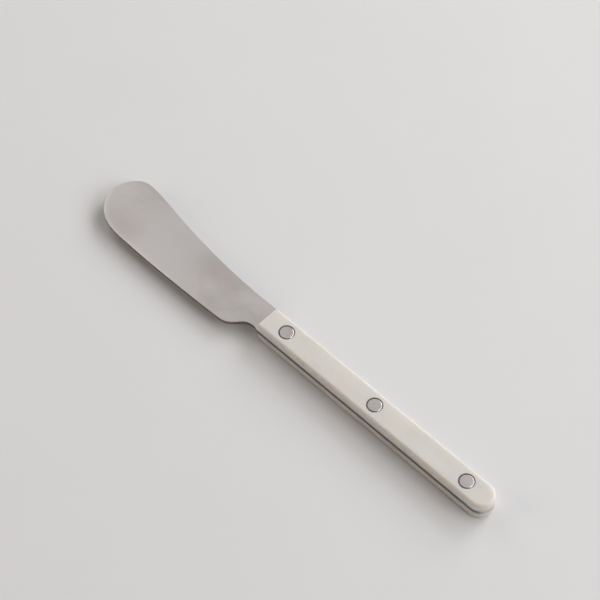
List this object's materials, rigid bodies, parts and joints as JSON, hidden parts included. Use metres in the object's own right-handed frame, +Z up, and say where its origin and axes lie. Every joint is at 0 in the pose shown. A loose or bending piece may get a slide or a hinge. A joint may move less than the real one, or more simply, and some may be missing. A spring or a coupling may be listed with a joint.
{
  "type": "butter spreader",
  "caption": "Slim flat spreading knife with a round-tipped satin steel blade on a full tang between two riveted ivory handle scales.",
  "frame": {"origin": "middle of the bounding box in plan, on the plane the lower scale rests on", "axes": "+X along the length from the butt of the handle to the tip of the blade, +Y across towards the spreading edge, +Z up through the thickness of the handle"},
  "size_m": [0.1654, 0.0212, 0.008],
  "materials": {
    "satin_steel": "satin",
    "ivory_scale": "polished",
    "rivet_steel": "polished"
  },
  "bodies": {
    "root": {"blade_and_tang": "satin_steel", "upper_scale": "ivory_scale", "lower_scale": "ivory_scale", "front_rivet_pin": "rivet_steel", "front_rivet_tube": "rivet_steel", "middle_rivet_pin": "rivet_steel", "middle_rivet_tube": "rivet_steel", "rear_rivet_pin": "rivet_steel", "rear_rivet_tube": "rivet_steel"}
  },
  "joints": []
}
